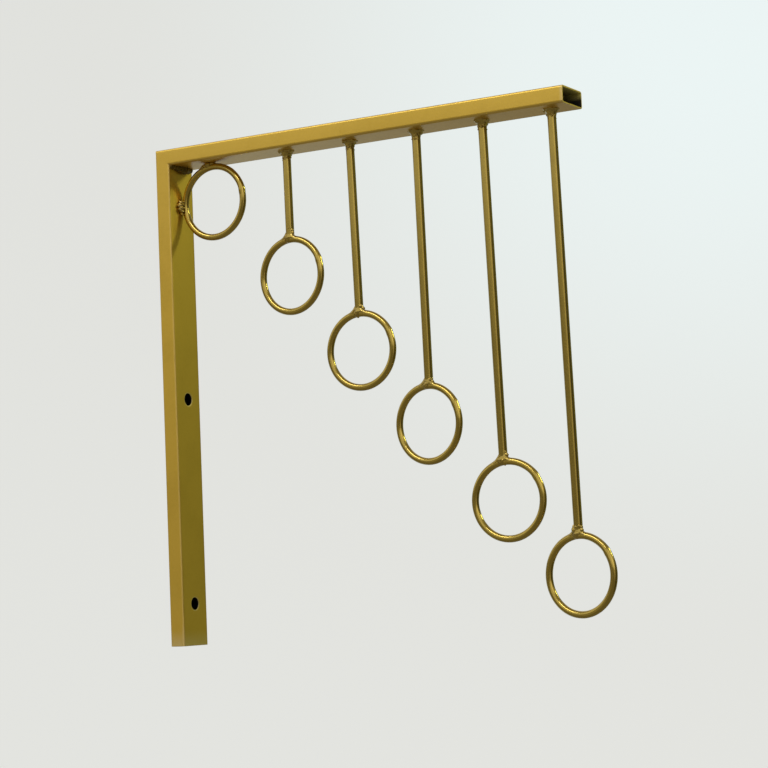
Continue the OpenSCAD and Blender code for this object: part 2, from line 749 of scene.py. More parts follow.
@dataclass(frozen=True)
class WallHole:
    """A round screw hole through both wide walls of a tube.

    Attributes:
        along: Place of its middle along the tube.
        radius: Its radius.
        bevel: Width of the broken edge round it.
    """

    along: float
    radius: float = 3.75 * MM
    bevel: float = 0.32 * MM


class TubeMesh:
    """Builds one length of hollow tube as a closed mesh, open or mitred at its ends."""

    BURR = 0.18 * MM
    MIST_AND_LIGHT_REACH = 24 * MM
    PAINT, BORE = 0, 1
    # Rings of a window, as shares of the way from the hole's rim out to the square.
    WINDOW_RINGS = (0.65, 0.35, 0.12, 0.0)

    def __init__(
        self, section: TubeSection, place: Callable[[float, float, float], Vector]
    ) -> None:
        """Starts an empty mesh.

        Args:
            section: The tube's section.
            place: Turns a distance along the tube, a thickness and a width into a point.
        """
        self.section = section
        self.place = place
        self.bm = bmesh.new()
        self.edge = self.bm.verts.layers.float.new("edge")
        self.mouth = self.bm.verts.layers.float.new("mouth")
        self.rims: dict[tuple[float, int], list[Loop]] = {}

    def vertex(
        self, along: float, point: tuple[float, float, float], mouth: float = 0.0
    ) -> bmesh.types.BMVert:
        """Adds one vertex with its edge weight and its nearness to an opening.

        Args:
            along: Its place along the tube.
            point: Its thickness, width and edge weight.
            mouth: Its nearness to an opening, 0 to 1.

        Returns:
            The vertex.
        """
        made = self.bm.verts.new(self.place(along, point[0], point[1]))
        made[self.edge] = point[2]
        made[self.mouth] = mouth
        return made

    def bridge(
        self, lower: Loop, upper: Loop, finish: int,
        skip: Callable[[int], bool] = lambda column: False,
    ) -> None:
        """Joins two closed loops with a band of quads.

        Args:
            lower: First loop.
            upper: Second loop, with as many vertices.
            finish: Material index of the band.
            skip: Says which columns stay open.
        """
        count = len(lower)
        for i in range(count):
            if skip(i):
                continue
            j = (i + 1) % count
            face = self.bm.faces.new((lower[i], lower[j], upper[j], upper[i]))
            face.material_index = finish
            face.smooth = True

    def shell(
        self, rows: Sequence[Row], holes: Sequence[WallHole], depth: float, finish: int
    ) -> list[Loop]:
        """Adds the outer or the inner surface.

        Args:
            rows: For each loop, its place along the tube by thickness, its inset and its mouth.
            holes: The holes to leave open.
            depth: Inset of the whole surface, 0 for the outer one.
            finish: Material index.

        Returns:
            The loops of vertices, row by row.
        """
        # Only the inner wall at the least thickness takes the gold near openings: painted light on
        # the arm's lit top inner wall, with drifted paint.
        misted_and_lit_depth = 1.5 * self.section.wall
        loops: list[Loop] = [
            [
                self.vertex(along(point[0]), point, mouth if point[0] < misted_and_lit_depth else 0.0)
                for point in self.section.outline(inset)
            ]
            for along, inset, mouth in rows
        ]
        spokes = 2 * self.section.spokes
        half = len(loops[0]) // 2
        levels = [row[0](self.section.thickness) for row in rows]
        for low, (lower, upper) in enumerate(zip(loops, loops[1:])):
            middle = (levels[low] + levels[low + 1]) / 2
            open_here = any(abs(middle - hole.along) < self.section.flat for hole in holes)
            self.bridge(lower, upper, finish, lambda i: open_here and i % half < spokes)
        for hole in holes:
            first = min(
                range(len(levels)),
                key=lambda i: abs(levels[i] - (hole.along - self.section.flat)),
            )
            for side in (0, 1):
                columns = slice(side * half, side * half + spokes + 1)
                window = [loop[columns] for loop in loops[first:first + spokes + 1]]
                self.patch(window, hole, side, depth, finish)
        return loops

    def patch(
        self, window: Sequence[Loop], hole: WallHole, side: int, depth: float, finish: int
    ) -> None:
        """Fills a square window with rings that close in on its hole.

        Args:
            window: The lattice vertices of the window, rows by columns.
            hole: The hole.
            side: 0 on the face at full thickness, 1 on the other.
            depth: Inset of the surface.
            finish: Material index.
        """
        last = len(window) - 1
        sign = 1.0 if side == 0 else -1.0
        border = (
            [window[0][c] for c in range(last)]
            + [window[r][last] for r in range(last)]
            + [window[last][c] for c in range(last, 0, -1)]
            + [window[r][0] for r in range(last, 0, -1)]
        )
        for row in window[1:-1]:
            for spare in row[1:-1]:
                self.bm.verts.remove(spare)
        face = self.section.thickness - depth if side == 0 else depth
        bevel = hole.bevel if depth == 0.0 else 0.0
        rim = hole.radius + bevel
        rings = [(share, 0.0, rim) for share in self.WINDOW_RINGS]
        if bevel:
            rings += [(0.0, 0.3 * bevel, rim - 0.7 * bevel), (0.0, bevel, hole.radius)]
        first_corner = -3 * math.pi / 4
        loop: Loop = border
        for share, drop, inside in rings:
            ring = []
            for i in range(len(border)):
                angle = first_corner + math.tau * i / len(border)
                across, up = math.cos(angle), math.sin(angle)
                reach = self.section.flat / max(abs(across), abs(up))
                radius = inside + (reach - inside) * share
                # The bevel rings get full edge weight: rubbed paint and a painted highlight round
                # the hole.
                ring.append(self.vertex(
                    hole.along + radius * up,
                    (face - sign * drop, sign * radius * across, 0.0 if share else 1.0),
                ))
            self.bridge(loop, ring, finish)
            loop = ring
        self.rims.setdefault((hole.along, side), []).append(loop)

    def run(
        self,
        levels: Sequence[float],
        start: Optional[Profile],
        end: Optional[Profile],
        holes: Sequence[WallHole] = (),
    ) -> bmesh.types.BMesh:
        """Builds the whole length.

        Args:
            levels: Places of the loops along the tube, the first and last at its ends.
            start: Place of the first loop by thickness, or nothing for a square open end.
            end: The same for the last loop.
            holes: Holes through both wide walls.

        Returns:
            The closed mesh.
        """
        wall, burr = self.section.wall, self.BURR
        low, high = levels[0], levels[-1]
        outer: list[Row] = []
        inner: list[Row] = []

        def fixed(level: float) -> Profile:
            """A loop that lies square across the tube."""
            return lambda thickness: level

        def mist_and_light(level: float) -> float:
            """Gold at a level, partly drifted spray paint and partly painted light, from the
            nearest square open end.

            Args:
                level: Place along the tube.

            Returns:
                The gold's share, 0 to 1.
            """
            near = 1.0
            if start is None:
                near = min(near, (level - low) / self.MIST_AND_LIGHT_REACH)
            if end is None:
                near = min(near, (high - level) / self.MIST_AND_LIGHT_REACH)
            return (1.0 - near) ** 2

        if start is None:
            outer += [(fixed(low), burr, 1.0), (fixed(low + burr), 0.0, 1.0)]
            inner += [(fixed(low), wall - burr, 1.0), (fixed(low + burr), wall, 1.0)]
        else:
            outer.append((start, 0.0, 0.0))
            inner.append((start, wall, 0.0))
        for level in levels[1:-1]:
            outer.append((fixed(level), 0.0, 0.0))
            inner.append((fixed(level), wall, mist_and_light(level)))
        if end is None:
            outer += [(fixed(high - burr), 0.0, 1.0), (fixed(high), burr, 1.0)]
            inner += [(fixed(high - burr), wall, 1.0), (fixed(high), wall - burr, 1.0)]
        else:
            outer.append((end, 0.0, 0.0))
            inner.append((end, wall, 0.0))
        skin = self.shell(outer, holes, 0.0, self.PAINT)
        bore = self.shell(inner, holes, wall, self.BORE)
        for end_loop in (0, -1):
            self.bridge(skin[end_loop], bore[end_loop], self.PAINT)
        # The holes' walls take the near-black bore finish: painted shade inside the holes.
        for outside, inside in self.rims.values():
            self.bridge(outside, inside, self.BORE)
        # The open ends' rims get full edge weight: rubbed cut edges and a painted highlight.
        for loops, open_end in ((skin, start is None), (skin[::-1], end is None)):
            if open_end:
                for vert in (*loops[0], *loops[1]):
                    vert[self.edge] = 1.0
        bmesh.ops.recalc_face_normals(self.bm, faces=self.bm.faces)
        return self.bm


@dataclass
class TubeFrame:
    """The L of flat tube: the drilled wall post and the arm, mitred into each other.

    Attributes:
        section: Section of both tubes.
        height: Height of the post.
        reach: Reach of the arm from the wall.
        holes: Screw holes, by height above the foot.
        sharp_angle: Least angle between faces that stays a sharp edge, in degrees.
        paint: Finish outside.
        bore: Finish inside.
    """

    section: TubeSection = field(default_factory=TubeSection)
    height: float = POST_HEIGHT
    reach: float = 275 * MM
    holes: tuple[WallHole, ...] = (WallHole(25 * MM), WallHole(148 * MM))
    sharp_angle: float = 32
    paint: GoldPaint = TUBE_PAINT
    bore: TubeBore = field(default_factory=TubeBore)

    def post_mesh(self) -> bmesh.types.BMesh:
        """The upright tube, open at the foot, drilled twice and mitred at the top.

        Returns:
            The closed mesh.
        """
        levels = [0.0]
        for hole in self.holes:
            levels += [hole.along + offset for offset in self.section.offsets()]
        levels += [(levels[-1] + self.height) / 2, self.height - 2 * self.section.thickness]
        levels.append(self.height)
        tube = TubeMesh(self.section, lambda along, t, w: Vector((t, w, FOOT_Z + along)))
        return tube.run(levels, None, lambda t: self.height - t, self.holes)

    def arm_mesh(self) -> bmesh.types.BMesh:
        """The level tube, mitred at the wall and open at its end.

        Returns:
            The closed mesh.
        """
        near, far = 2 * self.section.thickness, self.reach
        levels = [0.0] + [near + (far - near) * i / 12 for i in range(13)]
        top = FOOT_Z + self.height
        tube = TubeMesh(self.section, lambda along, t, w: Vector((along, w, top - t)))
        for back in (9 * MM, 3 * MM):
            levels.insert(-1, far - back)
        return tube.run(levels, lambda t: t, None)

    def build(self) -> list[bpy.types.Object]:
        """Builds both tubes and hands them in.

        Returns:
            The two pieces.
        """
        made = []
        for name, node, bm in (
            ("post_tube", "wall_post", self.post_mesh()),
            ("arm_tube", "display_arm", self.arm_mesh()),
        ):
            mesh = bpy.data.meshes.new(name)
            bm.to_mesh(mesh)
            bm.free()
            mesh.set_sharp_from_angle(angle=math.radians(self.sharp_angle))
            piece = add_piece(name, mesh)
            even = piece.modifiers.new("even_shading", "WEIGHTED_NORMAL")
            even.keep_sharp = True
            even.weight = 100
            self.dress(piece)
            settle(piece)
            made.append(hand_in(piece, node))
        return made

    def dress(self, piece: bpy.types.Object) -> None:
        """Gives a tube its paint outside and its bare bore inside."""
        for finish in (self.paint, self.bore):
            piece.data.materials.append(material_of(finish))


@dataclass(frozen=True)
class Station:
    """One ring and, from the second on, the drop rod that it hangs on.

    Attributes:
        number: Its place in the row, 1 next to the wall.
        turn: How far the ring is turned about the vertical, in degrees.
        joint: Where the wire's ends meet, in degrees above the outward side.
        rod_x: Distance of the rod from the wall where it meets the arm.
        drop: Height from the arm down to the ring.
        lean: Lean of the rod away from the wall, in degrees.
        offset: How far the ring's centre is outwards of the rod's end.
    """

    number: int
    turn: float
    joint: float
    rod_x: float = 0.0
    drop: float = 0.4 * MM
    lean: float = 0.0
    offset: float = 0.0

    @property
    def rod_end(self) -> Vector:
        """Where the rod ends, at the top of its ring; the first ring's own top.

        Returns:
            The point.
        """
        x = self.rod_x + self.drop * math.tan(math.radians(self.lean))
        if self.number == 1:
            x = TUBE_THICKNESS + self.drop + RING_OUTER_R
        return Vector((x, 0, UNDERSIDE_Z - self.drop))

    @property
    def centre(self) -> Vector:
        """Centre of the ring."""
        return self.rod_end + Vector((self.offset, 0, -RING_OUTER_R))


STATIONS = (
    Station(1, 2.0, 13),
    Station(2, 5.5, 20, 87 * MM, 51 * MM, 0.5, 0.2 * MM),
    Station(3, 2.0, 25, 131 * MM, 99.5 * MM, 1.1, 0.4 * MM),
    Station(4, 9.0, 28, 175.5 * MM, 145 * MM, 0.6, -1.0 * MM),
    Station(5, 2.0, 36, 218.5 * MM, 191 * MM, 1.1, 2.4 * MM),
    Station(6, 10.0, 34, 262 * MM, 234 * MM, 1.0, 0.4 * MM),
)


@dataclass
class HangerRings:
    """The six rings of round wire.

    Attributes:
        paint: Their finish.
        joint_swell: Share by which the wire thickens at its closing weld.
        joint_step: Half the mismatch of the wire's two ends.
        bead_half: Half the length of that weld, in radians.
        lip_half: Half the length over which one end steps to the other, in radians.
        ease_start: Angle from the joint up to which the mismatch is whole, in radians.
        ease_end: Angle from the joint at which it has eased away, in radians.
        steps_along: Facets along a ring's wire.
        steps_round: Facets round it.
    """

    paint: GoldPaint = ROD_PAINT
    joint_swell: float = 0.05
    joint_step: float = 0.12 * MM
    bead_half: float = 0.16
    lip_half: float = 0.07
    ease_start: float = 0.05
    ease_end: float = 0.55
    steps_along: int = 320
    steps_round: int = 32

    def wire_tree(self) -> ShapeTree:
        """Ring of wire, closed by a butt weld whose ends don't quite line up.

        Returns:
            The tree, with the ring upright across the tube's width before it is turned.
        """
        tree = ShapeTree("ring_wire", {
            "Ring Radius": Input.NUMBER, "Wire Radius": Input.NUMBER, "Joint Angle": Input.NUMBER,
            "Joint Swell": Input.NUMBER, "Joint Step": Input.NUMBER, "Turn": Input.POINT,
            "Centre": Input.POINT, "Finish": Input.FINISH,
        })
        circle = tree.node(
            "GeometryNodeCurvePrimitiveCircle", {},
            {"Resolution": self.steps_along, "Radius": tree.given("Ring Radius")},
        )
        place = tree.node("GeometryNodeInputPosition").outputs[0]
        parts = tree.node("ShaderNodeSeparateXYZ", {}, {"Vector": place})
        angle = tree.value(parts, "Y").bearing(tree.value(parts, "X"))
        off = angle - tree.number("Joint Angle")
        near = abs(off)
        bead = near.step(self.bead_half, 0.0)
        lip = off.step(-self.lip_half, self.lip_half, -1.0, 1.0)
        lip = lip * near.step(self.ease_end, self.ease_start)
        outward = tree.vector("NORMALIZE", place)
        shift = lip * tree.number("Joint Step")
        bent = tree.node("GeometryNodeSetPosition", {}, {
            "Geometry": circle.outputs[0], "Offset": tree.vector("SCALE", outward, shift),
        })
        profile = tree.node(
            "GeometryNodeCurvePrimitiveCircle", {},
            {"Resolution": self.steps_round, "Radius": tree.given("Wire Radius")},
        )
        held = tree.node("GeometryNodeCaptureAttribute", {}, {"Geometry": bent.outputs[0]})
        held.capture_items.new("FLOAT", "Swell")
        tree.feed(held.inputs["Swell"], 1 + bead * tree.number("Joint Swell"))
        wire = tree.node("GeometryNodeCurveToMesh", {}, {
            "Curve": held.outputs[0], "Profile Curve": profile.outputs[0],
            "Scale": held.outputs["Swell"],
        })
        stored = tree.node(
            "GeometryNodeStoreNamedAttribute", {"data_type": "FLOAT", "domain": "POINT"},
            {"Geometry": wire.outputs[0], "Name": "edge", "Value": 0.0},
        )
        upright = tree.node("GeometryNodeTransform", {}, {
            "Geometry": stored.outputs[0], "Rotation": (math.pi / 2, 0.0, 0.0),
        })
        turned = tree.node("GeometryNodeTransform", {}, {
            "Geometry": upright.outputs[0], "Rotation": tree.given("Turn"),
            "Translation": tree.given("Centre"),
        })
        tree.close(turned.outputs[0])
        return tree

    def dress(self) -> bpy.types.Material:
        """The finish that the tree sets on every ring."""
        return material_of(self.paint)

    def build(self) -> list[bpy.types.Object]:
        """Builds every ring and hands it in.

        Returns:
            The pieces.
        """
        tree, finish = self.wire_tree(), self.dress()
        made = []
        for station in STATIONS:
            piece = add_piece(f"ring_{station.number}_wire")
            tree.apply(piece, {
                "Ring Radius": RING_OUTER_R - RING_WIRE_R,
                "Wire Radius": RING_WIRE_R,
                "Joint Angle": math.radians(station.joint),
                "Joint Swell": self.joint_swell,
                "Joint Step": self.joint_step,
                "Turn": (0.0, 0.0, -math.radians(station.turn)),
                "Centre": station.centre,
                "Finish": finish,
            })
            made.append(hand_in(piece, f"hanger_ring_{station.number}"))
        return made


@dataclass
class DropRods:
    """The five rods that the rings hang on.

    Attributes:
        paint: Their finish.
        end_gap: Gap between a rod's cut end and its ring, which the weld fills.
        steps_along: Points along a rod.
        steps_round: Facets round it.
    """

    paint: GoldPaint = ROD_PAINT
    end_gap: float = 0.3 * MM
    steps_along: int = 32
    steps_round: int = 48

    def bar_tree(self) -> ShapeTree:
        """Round bar between two points, with square ends.

        Returns:
            The tree.
        """
        tree = ShapeTree("straight_bar", {
            "Top": Input.POINT, "Foot": Input.POINT, "Bar Radius": Input.NUMBER,
            "Finish": Input.FINISH,
        })
        line = tree.node(
            "GeometryNodeCurvePrimitiveLine", {},
            {"Start": tree.given("Top"), "End": tree.given("Foot")},
        )
        steps = tree.node(
            "GeometryNodeResampleCurve", {},
            {"Curve": line.outputs[0], "Count": self.steps_along},
        )
        profile = tree.node(
            "GeometryNodeCurvePrimitiveCircle", {},
            {"Resolution": self.steps_round, "Radius": tree.given("Bar Radius")},
        )
        bar = tree.node("GeometryNodeCurveToMesh", {}, {
            "Curve": steps.outputs[0], "Profile Curve": profile.outputs[0], "Fill Caps": True,
        })
        tree.close(bar.outputs[0])
        return tree

    def dress(self) -> bpy.types.Material:
        """The finish that the tree sets on every rod."""
        return material_of(self.paint)

    def build(self) -> list[bpy.types.Object]:
        """Builds every rod and hands it in.

        Returns:
            The pieces.
        """
        tree, finish = self.bar_tree(), self.dress()
        made = []
        for station in STATIONS[1:]:
            piece = add_piece(f"rod_{station.number}_bar")
            tree.apply(piece, {
                "Top": Vector((station.rod_x, 0, UNDERSIDE_Z)),
                "Foot": station.rod_end + Vector((0, 0, self.end_gap)),
                "Bar Radius": ROD_R,
                "Finish": finish,
            })
            made.append(hand_in(piece, f"drop_rod_{station.number}"))
        return made


class WeldCores:
    """Collects the closed shapes that a weld is melted from."""

    def __init__(self) -> None:
        """Starts with no shape."""
        self.bm = bmesh.new()

    def collar(
        self, root: Vector, away: Vector, radius: float, tip: float, height: float
    ) -> None:
        """Adds a flared collar, wide at its root.

        Args:
            root: Middle of the wide end.
            away: Direction from the wide end to the narrow one.
            radius: Radius of the wide end.
            tip: Radius of the narrow end.
            height: Distance between the two.
        """
        steps, sides = 8, 32
        turn = away.to_track_quat("Z", "X").to_matrix().to_4x4()
        loops = []
        for i in range(steps + 1):
            share = i / steps
            size = tip + (radius - tip) * (1 - share) ** 2.5
            loops.append([
                self.bm.verts.new(root + turn @ Vector((
                    size * math.cos(math.tau * k / sides),
                    size * math.sin(math.tau * k / sides),
                    height * share,
                )))
                for k in range(sides)
            ])
        for lower, upper in zip(loops, loops[1:]):
            for k in range(sides):
                n = (k + 1) % sides
                self.bm.faces.new((lower[k], lower[n], upper[n], upper[k]))
        self.bm.faces.new(loops[0][::-1])
        self.bm.faces.new(loops[-1])

    def drop(self, middle: Vector, size: Sequence[float], turn: float = 0.0) -> None:
        """Adds an ellipsoid.

        Args:
            middle: Its centre.
            size: Its half sizes along X, Y and Z before it is turned.
            turn: Its turn about Y, in degrees.
        """
        place = (
            Matrix.Translation(middle) @ Matrix.Rotation(math.radians(turn), 4, "Y")
            @ Matrix.Diagonal((*size, 1.0))
        )
        bmesh.ops.create_icosphere(self.bm, subdivisions=3, radius=1.0, matrix=place)

    def mesh(self, name: str) -> bpy.types.Mesh:
        """The shapes as one mesh.

        Args:
            name: Name of the mesh.

        Returns:
            The mesh; nothing can be added afterwards.
        """
        made = bpy.data.meshes.new(name)
        bmesh.ops.recalc_face_normals(self.bm, faces=self.bm.faces)
        self.bm.to_mesh(made)
        self.bm.free()
        return made


@dataclass
class Welds:
    """Every deposit of weld on the bracket.

    Attributes:
        paint: Their finish.
        painted_shade_paint: Finish of the bead in the corner, a darker copy of the weld paint as
            painted shade.
        collar_r: Radius of a rod's collar at the arm.
        collar_height: Height of that collar.
        lump_r: Radius of a lump in the weld metal.
        unevenness: Height of the metal's waves.
        ring_unevenness: The same on a ring's bead, which flowed smoother.
        wave_size: Size of those waves.
        grain: Size of the cells that the metal is melted in.
        band: Depth to which the melted metal is filled.
        skin_density: Density at which its skin forms.
        flow_steps: How many times the skin is smoothed.
    """

    paint: GoldPaint = WELD_PAINT
    painted_shade_paint: GoldPaint = PAINTED_SHADE_WELD_PAINT
    collar_r: float = 5.2 * MM
    collar_height: float = 5.6 * MM
    lump_r: float = 0.75 * MM
    unevenness: float = 0.5 * MM
    ring_unevenness: float = 0.22 * MM
    wave_size: float = 1.5 * MM
    grain: float = 0.2 * MM
    band: float = 0.5 * MM
    skin_density: float = 0.12
    flow_steps: int = 5

    FIRST_SEED: ClassVar[int] = 11
    # How far each step of the seed moves the waves' pattern.
    SEED_DRIFT: ClassVar[tuple[float, float, float]] = (0.013, 0.029, 0.041)
    # Drops on each ring's bead, in millimetres: out along the ring, across, up, half size.
    SPATTER: ClassVar[dict[int, tuple[tuple[float, float, float, float], ...]]] = {
        2: (
            (0.4, -2.2, 4.6, 0.7), (1.6, -1.4, 4.6, 0.7), (2.3, -0.9, 3.4, 0.9),
            (2.8, -1.0, 1.8, 1.0),
        ),
        3: ((2.3, -1.2, 2.0, 1.2), (3.4, -0.9, 0.9, 1.1), (-0.6, -0.5, -3.9, 0.9)),
        4: ((2.3, -1.4, 1.4, 1.0), (3.4, -0.9, 0.4, 1.0)),
        5: ((2.0, -1.0, 3.4, 0.9), (2.9, -0.9, 1.6, 1.1), (1.3, -0.6, -3.9, 0.7)),
        6: (
            (-1.9, -0.9, 1.2, 2.1), (-2.1, -0.8, 3.0, 1.4), (-0.6, -2.0, 2.6, 1.0),
            (1.4, -1.6, 3.0, 1.0), (2.4, -0.9, 2.6, 1.1), (2.9, -1.1, 1.0, 1.1),
            (-0.4, -1.6, -1.2, 1.4),
        ),
    }

    def metal_tree(self) -> ShapeTree:
        """Rough weld metal: lumps scattered over cores of weld, then melted together.

        Returns:
            The tree; its geometry input is the closed cores.
        """
        tree = ShapeTree("weld_metal", {
            "Cores": Input.SHAPE, "Lump Radius": Input.NUMBER, "Lump Density": Input.NUMBER,
            "Unevenness": Input.NUMBER, "Grain": Input.NUMBER, "Seed": Input.COUNT,
            "Finish": Input.FINISH,
        })
        spots = tree.node("GeometryNodeDistributePointsOnFaces", {}, {
            "Mesh": tree.given("Cores"), "Density": tree.given("Lump Density"),
            "Seed": tree.given("Seed"),
        })
        lump = tree.node(
            "GeometryNodeMeshIcoSphere", {},
            {"Radius": tree.given("Lump Radius"), "Subdivisions": 2},
        )
        size = tree.node(
            "FunctionNodeRandomValue", {"data_type": "FLOAT"},
            {"Min": 0.45, "Max": 1.15, "Seed": tree.given("Seed")},
        )
        lumps = tree.node("GeometryNodeInstanceOnPoints", {}, {
            "Points": spots.outputs[0], "Instance": lump.outputs[0],
            "Scale": tree.out(size, "Value"),
        })
        real = tree.node("GeometryNodeRealizeInstances", {}, {"Geometry": lumps.outputs[0]})
        heap = tree.node("GeometryNodeJoinGeometry")
        for part in (tree.given("Cores"), real.outputs[0]):
            tree.feed(heap.inputs[0], part)
        melt = tree.node("GeometryNodeMeshToVolume", {"resolution_mode": "VOXEL_SIZE"}, {
            "Mesh": heap.outputs[0], "Voxel Size": tree.given("Grain"),
            "Interior Band Width": self.band,
        })
        skin = tree.node("GeometryNodeVolumeToMesh", {"resolution_mode": "GRID"}, {
            "Volume": melt.outputs[0], "Threshold": self.skin_density,
        })
        place = tree.node("GeometryNodeInputPosition").outputs[0]
        soft = tree.node(
            "GeometryNodeBlurAttribute", {"data_type": "FLOAT_VECTOR"},
            {"Value": place, "Iterations": self.flow_steps},
        )
        flow = tree.node("GeometryNodeSetPosition", {}, {
            "Geometry": skin.outputs[0], "Position": tree.out(soft, "Value"),
        })
        drift = tree.vector("SCALE", self.SEED_DRIFT, tree.number("Seed"))
        wave = tree.noise(tree.vector("ADD", place, drift), self.wave_size, 2.0)
        swell = (wave - 0.5) * tree.number("Unevenness")
        normal = tree.node("GeometryNodeInputNormal").outputs[0]
        rough = tree.node("GeometryNodeSetPosition", {}, {
            "Geometry": flow.outputs[0], "Offset": tree.vector("SCALE", normal, swell),
        })
        tree.close(rough.outputs[0])
        return tree

    def arm_collar(self, station: Station) -> WeldCores:
        """The flared weld between a rod and the arm.

        Args:
            station: The rod's station.

        Returns:
            The weld's cores.
        """
        cores = WeldCores()
        root = Vector((station.rod_x, 0, UNDERSIDE_Z + 0.1 * MM))
        waist = self.collar_r - 0.35 * MM
        cores.collar(root, Vector((0, 0, -1)), waist, ROD_R, self.collar_height)
        side = 1 if station.number % 2 else -1
        for place, size in (
            ((2.7 * side, -1.6, -0.5), (1.9, 1.8, 1.0)),
            ((-1.9 * side, -2.7, -0.5), (1.7, 1.6, 1.1)),
            ((0.6, 2.7, -0.6), (2.0, 1.6, 1.0)),
        ):
            cores.drop(root + Vector(place) * MM, [part * MM for part in size])
        return cores

    def first_arm_weld(self) -> WeldCores:
        """The weld between the first ring and the arm.

        Returns:
            The weld's cores.
        """
        cores = WeldCores()
        top = Vector((STATIONS[0].centre.x, 0, UNDERSIDE_Z))
        for place, size, turn in (
            ((-4.6, -1.6, -1.5), (2.0, 1.7, 1.25), -18),
            ((-2.4, -1.9, -1.1), (1.9, 1.7, 1.25), -18),
            ((-6.6, -1.0, -2.2), (1.7, 1.7, 1.25), -18),
            ((-3.4, 0.3, -0.8), (3.2, 2.4, 1.3), -10),
            ((-0.6, 0.3, -0.7), (2.0, 2.4, 1.3), -10),
        ):
            cores.drop(top + Vector(place) * MM, [part * MM for part in size], turn)
        return cores

    def first_post_weld(self) -> WeldCores:
        """The weld between the first ring and the post.

        Returns:
            The weld's cores.
        """
        cores = WeldCores()
        side = Vector((TUBE_THICKNESS, 0, STATIONS[0].centre.z))
        for depth, across, height, size in (
            (1.3, -2.4, 2.3, 1.5), (1.5, -3.2, 0.6, 1.7), (1.7, -3.0, -1.3, 1.7),
            (1.4, -2.6, -3.3, 1.6), (1.2, -1.6, -5.2, 1.3), (1.0, 0.4, -1.6, 2.2),
            (0.9, -4.6, -0.4, 1.1), (0.9, -4.2, -2.4, 1.1),
        ):
            middle = side + Vector((depth, across, height)) * MM
            cores.drop(middle, [1.25 * size * MM, size * MM, 0.66 * size * MM], 16)
        return cores

    def ring_bead(self, station: Station) -> WeldCores:
        """The weld between a rod's end and its ring, drawn out along the ring's inner shoulder.

        Args:
            station: The rod's station.

        Returns:
            The weld's cores.
        """
        cores = WeldCores()
        end = station.rod_end
        turn = math.radians(station.turn)

        def shoulder(out: float) -> Vector:
            """Point on top of the ring, some way out from the rod's middle.

            Args:
                out: Distance from the rod's middle, in millimetres.

            Returns:
                The point.
            """
            reach = out * MM - station.offset
            rise = math.sqrt(RING_OUTER_R ** 2 - reach ** 2)
            along = Vector((reach * math.cos(turn), -reach * math.sin(turn), rise))
            return station.centre + along

        root = end + Vector((0, 0, -1.4 * MM))
        cores.collar(root, Vector((0, 0, 1)), 3.0 * MM, ROD_R, 4.4 * MM)
        # Reach along the ring to either side, height at the rod and number of drops, in mm.
        for reach, tall, steps in ((-6.4, 5.6, 16), (4.2, 3.4, 8)):
            for i in range(steps):
                share = i / steps
                rise = tall * (1 - share) ** 2.6
                place = shoulder(math.copysign(1.0, reach) + reach * share)
                place += Vector((0, 0, (rise / 2 - 1.6) * MM))
                across = ROD_R * (0.96 - 0.16 * share)
                cores.drop(place, [0.85 * MM, across, (rise / 2 + 1.7) * MM])
        cores.drop(shoulder(-0.8) + Vector((0, -0.35, -1.9)) * MM, [2.9 * MM, 2.25 * MM, 2.2 * MM])
        for out, across, up, size in self.SPATTER[station.number]:
            cores.drop(shoulder(out) + Vector((0, across, up)) * MM, [size * MM] * 3)
        return cores

    def corner_bead(self) -> WeldCores:
        """The weld along the inside corner of the two tubes, heaviest in the middle.

        Returns:
            The weld's cores.
        """
        cores = WeldCores()
        corner = Vector((TUBE_THICKNESS, 0, UNDERSIDE_Z))
        first, pitch, count = -10.6, 0.92, 23
        thin, extra, heaviest, spread = 1.25, 1.15, 1.0, 6.0
        for i in range(count):
            across = first + pitch * i
            size = (thin + extra * math.exp(-((across - heaviest) / spread) ** 2)) * MM
            middle = corner + Vector((0.45 * size, across * MM, -0.45 * size))
            cores.drop(middle, (size, 0.9 * size, size))
        return cores

    def dress(self) -> tuple[bpy.types.Material, bpy.types.Material]:
        """The welds' finish, and the darker painted-shade copy for the bead in the corner."""
        return material_of(self.paint), material_of(self.painted_shade_paint)

    def build(self) -> list[bpy.types.Object]:
        """Melts every weld and hands it in.

        Returns:
            The pieces.
        """
        tree = self.metal_tree()
        finish, shaded = self.dress()
        # Piece, CAD node, cores, size of its lumps as a share of lump_r, lumps per square metre.
        plan: list[tuple[str, str, WeldCores, float, float]] = [
            ("corner_bead", "corner_weld", self.corner_bead(), 1.0, 0.35e6),
            ("ring_1_arm_bead", "arm_weld_1", self.first_arm_weld(), 0.9, 0.30e6),
            ("ring_1_post_bead", "post_weld_1", self.first_post_weld(), 0.6, 0.25e6),
        ]
        for station in STATIONS[1:]:
            n = station.number
            plan += [
                (f"rod_{n}_collar", f"arm_weld_{n}", self.arm_collar(station), 0.75, 0.4e6),
                (f"ring_{n}_bead", f"ring_weld_{n}", self.ring_bead(station), 0.4, 0.05e6),
            ]
        made = []
        for seed, (name, node, cores, lump, density) in enumerate(plan, start=self.FIRST_SEED):
            piece = add_piece(name, cores.mesh(name))
            tree.apply(piece, {
                "Lump Radius": self.lump_r * lump,
                "Lump Density": density,
                "Unevenness": self.ring_unevenness if node.startswith("ring") else self.unevenness,
                "Grain": self.grain,
                "Seed": seed,
                # The corner bead takes the darker copy of the weld paint: painted shade.
                "Finish": shaded if name == "corner_bead" else finish,
            })
            made.append(hand_in(piece, node))
        return made


def towards(azimuth: float, elevation: float) -> Vector:
    """Unit vector in a direction.

    Args:
        azimuth: Angle from +X towards +Y, in degrees.
        elevation: Height above the horizon, in degrees.

    Returns:
        The vector.
    """
    a, e = math.radians(azimuth), math.radians(elevation)
    return Vector((math.cos(a) * math.cos(e), math.sin(a) * math.cos(e), math.sin(e)))


